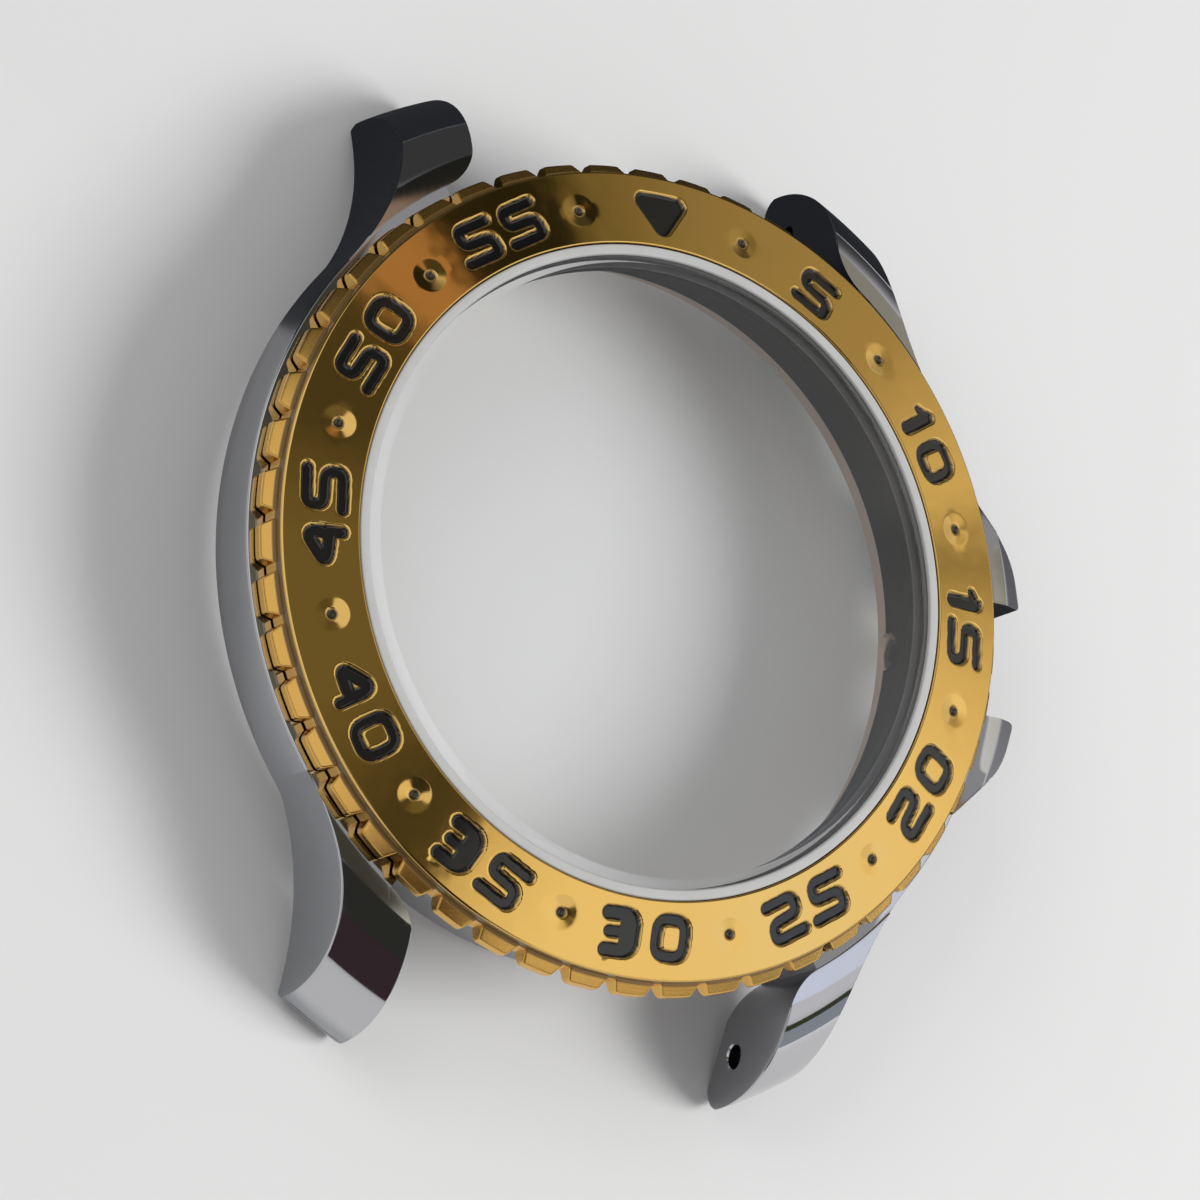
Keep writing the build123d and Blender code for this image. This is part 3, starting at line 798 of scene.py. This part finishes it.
def round_body():
    """Turned body: bottom rim, core wall, deck flange with the spring's pocket, neck, and the stepped bore.
    Its deck lies a skin's thickness below the flanks' and lugs' shells."""
    deck = DECK - SKIN
    slope_start = FLANGE_BOTTOM - (FLANGE_RADIUS - CORE_RADIUS)
    profile = rounded([
        (BACK_RADIUS, 0), (CORE_RADIUS, 0), (CORE_RADIUS, slope_start), (FLANGE_RADIUS, FLANGE_BOTTOM),
        (FLANGE_RADIUS, deck), (POCKET_OUTER, deck), (POCKET_OUTER, POCKET_FLOOR),
        (POCKET_INNER, POCKET_FLOOR), (POCKET_INNER, deck), (NECK_RADIUS, deck),
        (NECK_RADIUS, GROOVE_LOW), (WIRE_BED, GROOVE_LOW), (WIRE_BED, GROOVE_HIGH),
        (NECK_RADIUS, GROOVE_HIGH), (NECK_RADIUS, NECK_TOP), (GASKET_RADIUS, NECK_TOP),
        (GASKET_RADIUS, CRYSTAL_SEAT), (APERTURE, CRYSTAL_SEAT), (APERTURE, DECK),
        (MOVEMENT_RADIUS, DECK), (MOVEMENT_RADIUS, HOLDER_STEP),
        (HOLDER_RADIUS, HOLDER_STEP), (HOLDER_RADIUS, BACK_STEP), (BACK_RADIUS, BACK_STEP),
    ], 0.06, 2)
    angle = np.linspace(0, 2 * np.pi, BODY_COLUMNS, endpoint=False)[:, None]
    points = around(profile[:, 0], angle, profile[:, 1]).reshape(-1, 3)
    quads = grid_quads(BODY_COLUMNS, len(profile))[:, [0, 3, 2, 1]]
    return points, oriented(points, list(quads))


def flank_sector(crown_side):
    """Flank between two lugs: a section with a bowl below, carried from one strap gap to the other, so that
    each point's angle is a share of acos(gap / radius) and both ends lie flat on the gap's planes. A support
    row above the bowl sinks towards the lugs, so that the wall's shading runs into theirs."""
    t = np.linspace(0, 1, 9)[:, None]
    low, high = np.array([CORE_RADIUS, 0.0]), np.array([FLANK_RADIUS, FLANK_BOTTOM])
    bulge = (low + high) / 2 + 2 * np.array([FLANK_BULGE, -FLANK_BULGE])
    bowl = (1 - t) ** 2 * low + 2 * t * (1 - t) * bulge + t ** 2 * high
    bend = np.radians(np.linspace(0, 90, 5))
    corner = np.array([FLANK_RADIUS, DECK]) - LUG_EDGE * (1 - around(1, bend))
    inner = [(SHELL_ROOT, DECK), (SHELL_ROOT, SHELL_SHELF), (SHELL_START, SHELL_SHELF)]
    profile = np.vstack([[(SHELL_START, BACK_STEP)], bowl, [(FLANK_RADIUS, FLANK_BOTTOM)], corner, inner])
    share = np.linspace(-1, 1, 241)[:, None]
    radius, height = profile[None, :, 0], profile[None, :, 1] + 0 * share
    height[:, 1 + len(bowl)] += 0.03 + 2.0 * (1 - eased(np.abs(share[:, 0]), 0.2, 0.6))
    angle = share * np.arccos(LUG_INNER / radius)
    x, y = radius * np.cos(angle), radius * np.sin(angle)
    if crown_side:
        x = np.where(np.abs(y) < GUARD_GAP + 0.1, np.minimum(x, SEAT_X), x)
    return loft(np.stack([x if crown_side else -x, y, height], -1))


def lug():
    """Lug on the crown side at 12 o'clock. A section at each radius r is a rectangle with rounded corners,
    between the flank's outline and the inner face, and between the underside and the turned top. Its points
    are shares (u, v) of the width and height, moved by (du, dv) edge radii. The flank blends out of the case
    on an arc. The top is a quarter ellipse in (r, z), the tip a circle below it, the underside a plane."""
    centre_x = LUG_OUTER + BLEND_RADIUS
    reach = FLANK_RADIUS + BLEND_RADIUS
    centre_y = math.sqrt(reach ** 2 - centre_x ** 2)
    lean = math.atan2(centre_y, centre_x)
    turn = np.radians(np.linspace(0, 89.4, 60))
    fall = LUG_REACH - LUG_FALL
    near = FLANK_RADIUS + (fall - FLANK_RADIUS) * np.linspace(0, 1, 8)[:-1] ** 2
    start = [SHELL_START, SHELL_ROOT - 0.05, SHELL_ROOT]
    start += [FLANGE_RADIUS + 0.2, RING_RADIUS + 0.05, RING_RADIUS + 0.1]
    radius = np.concatenate([start, near, fall + LUG_FALL * np.sin(turn)])
    levels = [SHELL_SHELF] * 2 + [DECK - LUG_EDGE] * 3 + [LUG_TOP] * (len(near) + 1)
    top = np.concatenate([levels, TIP_LEVEL + (LUG_TOP - TIP_LEVEL) * np.cos(turn)])
    out = np.maximum(radius, FLANK_RADIUS)
    cosine = (out ** 2 - reach ** 2 - BLEND_RADIUS ** 2) / (2 * reach * BLEND_RADIUS)
    swing = lean + np.arccos(np.clip(cosine, -1, 1))
    blended = np.arctan2(centre_y + BLEND_RADIUS * np.sin(swing), centre_x + BLEND_RADIUS * np.cos(swing))
    flank = np.where(out < math.hypot(LUG_OUTER, centre_y), blended, np.arccos(LUG_OUTER / out))
    inner = np.arccos(LUG_INNER / radius)
    quarter = np.radians(np.linspace(0, 90, 5))
    across = np.linspace(0.02, 0.98, 14)
    up = np.linspace(0.08, 0.92, 4)
    sine, cosine = np.sin(quarter), np.cos(quarter)
    section = [
        (0, 1, 1 - cosine, sine - 1), (across, 1, 0, 0), (1, 1, sine - 1, cosine - 1), (1, up[::-1], 0, 0),
        (1, 0, cosine - 1, 1 - sine), (across[::-1], 0, 0, 0), (0, 0, 1 - sine, 1 - cosine), (0, up, 0, 0),
    ]
    u, v, du, dv = np.hstack([np.array(np.broadcast_arrays(*run)) for run in section])
    angle = flank[:, None] + (inner - flank)[:, None] * u
    y = radius[:, None] * np.sin(angle)
    plane = FLANK_BOTTOM - np.maximum(y - UNDERSIDE_START, 0) * UNDERSIDE_SLOPE
    tip = LUG_REACH - TIP_RADIUS
    end = TIP_LEVEL - np.sqrt(np.maximum(TIP_RADIUS ** 2 - np.maximum(radius - tip, 0) ** 2, 0))[:, None]
    bottom = np.maximum(plane, end)
    tall = np.maximum(top[:, None] - bottom, 0.002)
    edge = np.minimum(LUG_EDGE, 0.4 * tall)
    angle = angle + du * edge / radius[:, None]
    z = bottom + v * tall + dv * edge
    return loft(around(radius[:, None], angle, z))


def guard():
    """Crown guard on the 12 o'clock side: sections at each y, whose outer end follows a rounded outline and
    whose top is bevelled outwards from a circle about Z."""
    root = (math.sqrt(FLANK_RADIUS ** 2 - GUARD_END ** 2), GUARD_END)
    corners = [(GUARD_START, GUARD_GAP), (GUARD_TIP, GUARD_GAP), GUARD_KNEE, root, (GUARD_START, GUARD_END)]
    tip, knee, end = (rounded(corners, radius, 8).reshape(-1, 9, 2)[place]
                      for place, radius in ((1, 0.35), (2, 1.3), (3, 0.35)))
    edge = np.vstack([tip, knee, end])
    edge = edge[np.r_[True, np.diff(edge[:, 1]) > 1e-4]]
    y = GUARD_GAP + (GUARD_END - 0.05 - GUARD_GAP) * np.linspace(0, 1, 60) ** 1.8
    y[0] += 0.004
    far = np.interp(y, edge[:, 1], edge[:, 0])[:, None]
    y = y[:, None]
    begin = math.hypot(GUARD_TIP, GUARD_GAP) - GUARD_BEVEL
    start = np.sqrt(begin ** 2 - y ** 2)
    share = np.linspace(0, 1, 8)
    x_top = np.minimum(start, far) - 0.05
    inside = GUARD_START + 0 * y
    under = [inside, far - GUARD_EDGE, far - GUARD_ROUND, far]
    x = np.hstack([*under, *under[:0:-1], x_top + (far - 0.12 - x_top) * share[::-1], inside])
    z = DECK - GUARD_SLOPE * np.maximum(np.hypot(x, y) - begin, 0)
    z[:, :4] = GUARD_BOTTOM + np.array([0, 0, GUARD_ROUND, GUARD_EDGE])
    z[:, 4:6] -= [GUARD_EDGE, GUARD_ROUND]
    z[:, -1] = DECK - GUARD_EDGE
    return loft(np.stack([x, y + 0 * x, z], -1))


def upright(outline, levels):
    """Closed shell that stands on an outline in plan, with a ring at each level."""
    return loft(np.stack([np.column_stack([outline, np.full(len(outline), level)]) for level in levels]))


def root_corner():
    """Outline of a lug's rounded inner root corner, from the strap gap to the shoulder's circle, and the
    angle where it meets that circle. The arc's centre is one corner radius from the circle and from the gap,
    and a short straight run leads it through the lug's inner face."""
    centre_x = LUG_INNER + SHOULDER_CORNER
    centre_y = math.sqrt((SHOULDER + SHOULDER_CORNER) ** 2 - centre_x ** 2)
    lean = math.atan2(centre_y, centre_x)
    bend = np.linspace(math.pi, lean + math.pi, 16)[1:]
    arc = np.array([centre_x, centre_y]) + around(SHOULDER_CORNER, bend)
    lead = 2 * np.array([LUG_INNER, centre_y]) - arc[0]
    return np.vstack([[lead - [1, 0], lead], arc]), lean


def ledge_cutter():
    """Space above the deck beside the raised top of the lug at 12 o'clock on the crown side: it ends at a
    circle about Z and the rounded root corner."""
    corner, lean = root_corner()
    start = math.radians(20)
    hidden = around(17.8, np.linspace(start, math.radians(62), 20))
    edge = around(SHOULDER, np.linspace(lean, start, 40)[1:])
    return upright(np.vstack([hidden, corner, edge]), [DECK - 0.003, LUG_TOP + 1])


def corner_cutter():
    """Space beside the same rounded corner, cut through the whole height from the deck flange outwards, with
    rows on its wall that keep the shading of the lug's edges out of its middle."""
    corner, lean = root_corner()
    inner = FLANGE_RADIUS + 0.02
    hidden = around(inner, np.linspace(lean, math.acos((LUG_INNER - 1) / inner), 12))
    levels = np.r_[-3.0, np.linspace(-0.3, LUG_TOP - 0.35, 14), LUG_TOP + 1]
    return upright(np.vstack([corner, hidden]), levels)


def bore_cutter(profile, y, z, sign):
    """Cutter turned about an axis along X: (x, radius) pairs go round a circle of 40 points."""
    angle = np.linspace(0, 2 * np.pi, 40, endpoint=False)
    profile = np.array(profile)
    turned = around(profile[:, 1:], angle, profile[:, :1] * sign)
    return loft(turned[..., [2, 0, 1]] + np.array([0, y, z]))


def make_case():
    """Joins the round body, two flank sectors, four lugs and two guards, and cuts the holes."""
    body = solid("case_body", *round_body())
    lug_points, lug_faces = lug()
    guard_points, guard_faces = guard()
    shells = [flank_sector(True), flank_sector(False)]
    sides = [(x, y) for x in (1, -1) for y in (1, -1)]
    shells += [mirrored(lug_points, lug_faces, x, y) for x, y in sides]
    shells += [mirrored(guard_points, guard_faces, 1, y) for y in (1, -1)]
    bar_hole = [(LUG_INNER - 1, BAR_HOLE_MOUTH), (LUG_INNER, BAR_HOLE_MOUTH),
                (LUG_INNER + BAR_HOLE_BEVEL, BAR_HOLE_RADIUS), (LUG_INNER + BAR_HOLE_DEPTH, BAR_HOLE_RADIUS)]
    tube_hole = [(TUBE_START, TUBE_SPIGOT), (TUBE_STEP, TUBE_SPIGOT),
                 (TUBE_STEP + 0.002, TUBE_RADIUS), (TUBE_END, TUBE_RADIUS)]
    cuts = [bore_cutter(bar_hole, BAR_HOLE_Y * y, BAR_HOLE_Z, x) for x, y in sides]
    for cutter in (ledge_cutter(), corner_cutter()):
        cuts += [mirrored(*cutter, x, y) for x, y in sides]
    cuts.append(bore_cutter(tube_hole, 0, STEM_LEVEL, 1))
    helpers = []
    for operation, group in (("UNION", shells), ("DIFFERENCE", cuts)):
        for points, faces in group:
            helper = solid("helper", points, faces)
            helpers.append(helper)
            cut = body.modifiers.new(operation, "BOOLEAN")
            cut.operation = operation
            cut.object = helper
            cut.solver = "MANIFOLD"
    bpy.context.view_layer.update()
    ready = body.evaluated_get(bpy.context.evaluated_depsgraph_get())
    mesh = bpy.data.meshes.new_from_object(ready)
    for helper in helpers + [body]:
        bpy.data.objects.remove(helper)
    mesh.transform(Matrix.Scale(MM, 4))
    mesh.name = "case_middle"
    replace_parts(hang("case_middle", mesh, CASE, steel, 30), "mid_case")


make_case()
make_insert()
make_ring()

crystal = turned_piece(
    "flat_crystal",
    rounded([(0, CRYSTAL_SEAT), (CRYSTAL_RADIUS, CRYSTAL_SEAT), (CRYSTAL_RADIUS, CRYSTAL_TOP - 0.3),
             (CRYSTAL_RADIUS - 0.45, CRYSTAL_TOP), (0, CRYSTAL_TOP)], 0.04, closed=False),
    CASE, glass,
)
closed_poles(crystal)
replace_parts(crystal, "crystal")
gasket = turned_piece(
    "crystal_seal",
    rounded([(CRYSTAL_RADIUS, CRYSTAL_SEAT), (GASKET_RADIUS, CRYSTAL_SEAT), (GASKET_RADIUS, GASKET_TOP),
             (CRYSTAL_RADIUS, GASKET_TOP)], 0.12),
    CASE, seal_white,
)
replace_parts(gasket, "crystal_gasket")

for node, material in (
    ("bezel_gasket", seal_black), ("retaining_wire", spring_steel), ("click_spring", spring_steel),
    ("crown_tube", tube_steel),
):
    nodes[node].data.materials.clear()
    nodes[node].data.materials.append(material)


# Studio

def area_lamp(name, place, width, power):
    """Square soft box at a place, turned to face the object. Reflections see the cards instead of it."""
    lamp = bpy.data.lights.new(name, "AREA")
    lamp.size = width
    lamp.energy = power
    holder = new_object(name, lamp)
    holder.location = place
    holder.rotation_mode = "QUATERNION"
    holder.rotation_quaternion = (holder.location - cad_middle).to_track_quat("Z", "Y")
    holder.visible_glossy = holder.visible_transmission = False


def staged_sheet(name, corners, material):
    """Flat sheet of the studio between four corners."""
    mesh = bpy.data.meshes.new(name)
    mesh.from_pydata(corners, [], [(0, 1, 2, 3)])
    mesh.materials.append(material)
    sheet = new_object(name, mesh)
    return sheet


def mirrored_sheet(name, corners, shade):
    """Plain sheet between four corners that only reflections see."""
    material, tree = new_material(name)
    finish_material(tree, add(tree, "ShaderNodeEmission", Strength=1.0, Color=(*shade, 1)))
    board = staged_sheet(name, corners, material)
    board.visible_camera = board.visible_diffuse = board.visible_shadow = False
    board.visible_transmission = False


def card(name, direction, distance, width, tall, shade):
    """Card for reflections, square to a direction from the object."""
    out = Vector(direction).normalized()
    turn = out.to_track_quat("Z", "Y")
    w, h = width / 2, tall / 2
    square = ((-w, -h, 0), (w, -h, 0), (w, h, 0), (-w, h, 0))
    mirrored_sheet(name, [out * distance + turn @ Vector(corner) for corner in square], shade)


def dark_floor():
    """Dark sheet over the floor on the side of 12 o'clock, for the lugs and the bore to mirror. Its near edge
    runs slantwise under the case."""
    middle, along, away = Vector((2.5, -1.0, 0)) * MM, Vector((-0.85, 0.53, 0)), Vector((0.53, 0.85, 0))
    level = Vector((0, 0, FLOOR + 0.1 * MM))
    near = [middle + level + along * reach for reach in (0.5, -0.04)]
    far = [place + away * 0.6 for place in reversed(near)]
    mirrored_sheet("dark_floor", near + far, (0.03, 0.032, 0.036))


def make_floor():
    """Flat pale floor at the level of the lug tips."""
    material, tree = new_material("floor_paper")
    paper = {"Base Color": (0.78, 0.78, 0.77, 1), "Roughness": 0.9}
    finish_material(tree, add(tree, "ShaderNodeBsdfPrincipled", **paper))
    staged_sheet("floor", [(x, y, FLOOR) for x, y in ((-3, -3), (3, -3), (3, 3), (-3, 3))], material)


# What the numbered face mirrors: tones in order round the axis that the flat crystal mirrors, each with its
# share of a full turn, and how far from that axis the tones and the crystal's own grey end
MIRROR_AXIS = np.array([0.47, 0.27, 0.84]) / np.linalg.norm([0.47, 0.27, 0.84])
MIRROR_SPREAD = (math.radians(31.0), math.radians(33.0))
CRYSTAL_SPREAD = (math.radians(4.5), math.radians(7.5))
BLACK, DIM, OLIVE, BRONZE = (0.02, 0.02, 0.015), (0.07, 0.065, 0.045), (0.16, 0.15, 0.1), (0.42, 0.27, 0.18)
SOFT, MILD, WARM = (0.3, 0.28, 0.22), (0.4, 0.37, 0.3), (0.72, 0.68, 0.56)
PALE, SKY = (0.95, 0.94, 0.9), (0.92, 0.98, 1.14)
TONES = (
    (0.0, OLIVE), (0.07, OLIVE), (0.12, DIM), (0.15, DIM), (0.158, WARM), (0.21, PALE), (0.26, PALE),
    (0.35, SKY), (0.44, PALE), (0.5, WARM), (0.535, SOFT), (0.56, WARM), (0.61, MILD), (0.7, SOFT),
    (0.76, OLIVE), (0.775, BLACK), (0.838, BLACK), (0.846, BRONZE), (0.88, BRONZE), (0.892, DIM), (0.95, DIM),
    (1.0, OLIVE),
)


def mirrored_tones(tree, direction):
    """Colour of the tones by the angle round the mirror axis, and how far a direction lies from that axis."""
    first = np.cross([0, 1, 0], MIRROR_AXIS)
    first /= np.linalg.norm(first)
    parts = []
    for axis in (first, np.cross(MIRROR_AXIS, first), MIRROR_AXIS):
        dot = add(tree, "ShaderNodeVectorMath", operation="DOT_PRODUCT")
        join(tree, direction, dot, 0)
        dot.inputs[1].default_value = axis
        parts.append(dot.outputs["Value"])
    turn = maths(tree, "ARCTAN2", parts[1], parts[0])
    share = maths(tree, "ADD", maths(tree, "DIVIDE", turn, 2 * math.pi), 0.5)
    ramp = add(tree, "ShaderNodeValToRGB")
    join(tree, share, ramp, 0)
    stops = ramp.color_ramp.elements
    for place, tone in TONES[1:-1]:
        stops.new(place).color = (*tone, 1)
    stops[0].color, stops[-1].color = (*TONES[0][1], 1), (*TONES[-1][1], 1)
    return ramp.outputs["Color"], maths(tree, "ARCCOSINE", parts[2])


def make_world():
    """Pale backdrop for camera and transmission rays and a plainer level for diffuse light. Glossy rays see a
    sky that darkens to the horizon and to 12 o'clock, and near the mirror axis the tones."""
    world = bpy.data.worlds.new("studio")
    bpy.context.scene.world = world
    world.use_nodes = True
    tree = world.node_tree
    tree.nodes.clear()
    ray = add(tree, "ShaderNodeLightPath")
    direction = add(tree, "ShaderNodeTexCoord").outputs["Generated"]
    parts = add(tree, "ShaderNodeSeparateXYZ")
    join(tree, direction, parts, 0)
    raised = step_between(tree, parts.outputs["Z"], 0.0, 0.5)
    sky = mixed_colour(tree, raised, (0.1, 0.1, 0.11, 1), (0.8, 0.8, 0.81, 1))
    sky = mixed_colour(tree, step_between(tree, parts.outputs["Y"], 0.5, 0.75), sky, (0.06, 0.06, 0.06, 1))
    tones, away = mirrored_tones(tree, direction)
    sky = mixed_colour(tree, step_between(tree, away, *MIRROR_SPREAD), tones, sky)
    sky = mixed_colour(tree, step_between(tree, away, *CRYSTAL_SPREAD), (0.4, 0.4, 0.4, 1), sky)
    clear = maths(tree, "MAXIMUM", ray.outputs["Is Camera Ray"], ray.outputs["Is Transmission Ray"])
    shade = mixed_colour(tree, ray.outputs["Is Glossy Ray"], (0.4, 0.4, 0.41, 1), sky)
    shade = mixed_colour(tree, clear, shade, (0.8, 0.8, 0.81, 1))
    light = add(tree, "ShaderNodeBackground", Strength=1.0)
    join(tree, shade, light, "Color")
    join(tree, light.outputs[0], add(tree, "ShaderNodeOutputWorld"), "Surface")


def make_camera():
    """Camera at the photograph's place: on a line from the aim point at an azimuth and elevation, rolled."""
    azimuth, elevation, roll = math.radians(-60.38), math.radians(57.55), math.radians(-68.44)
    distance = 0.27903
    aim = np.array([-2.974, -2.107, 8.0]) * MM
    back = np.array([math.sin(azimuth) * math.cos(elevation), -math.cos(azimuth) * math.cos(elevation),
                     math.sin(elevation)])
    lens = bpy.data.cameras.new("camera")
    lens.sensor_width, lens.lens = 36.0, 180.0
    lens.clip_start, lens.clip_end = 0.01, 20.0
    camera = new_object("camera", lens)
    camera.location = aim + back * distance
    camera.rotation_mode = "QUATERNION"
    aimed = (camera.location - Vector(aim)).to_track_quat("Z", "Y")
    camera.rotation_quaternion = aimed @ Quaternion((0, 0, 1), -roll)
    bpy.context.scene.camera = camera


make_floor()
make_world()
make_camera()
area_lamp("key_box", (0.3, -0.08, 0.34), 0.22, 1.5)
area_lamp("fill_box", (-0.35, 0.2, 0.3), 0.3, 0.5)
card("dark_card_high", (0.0, -0.48, 0.88), 0.52, 0.26, 0.36, (0.035, 0.035, 0.03))
card("dark_card_low", (-0.21, -0.9, 0.38), 0.54, 0.24, 0.44, (0.05, 0.03, 0.035))
card("olive_strip", (0.88, -0.38, 0.31), 0.5, 0.3, 0.05, (0.05, 0.06, 0.03))
card("grey_card_foot", (0.91, -0.42, 0.12), 0.52, 0.3, 0.15, (0.35, 0.38, 0.42))
dark_floor()
bpy.context.scene.view_settings.view_transform = "Standard"
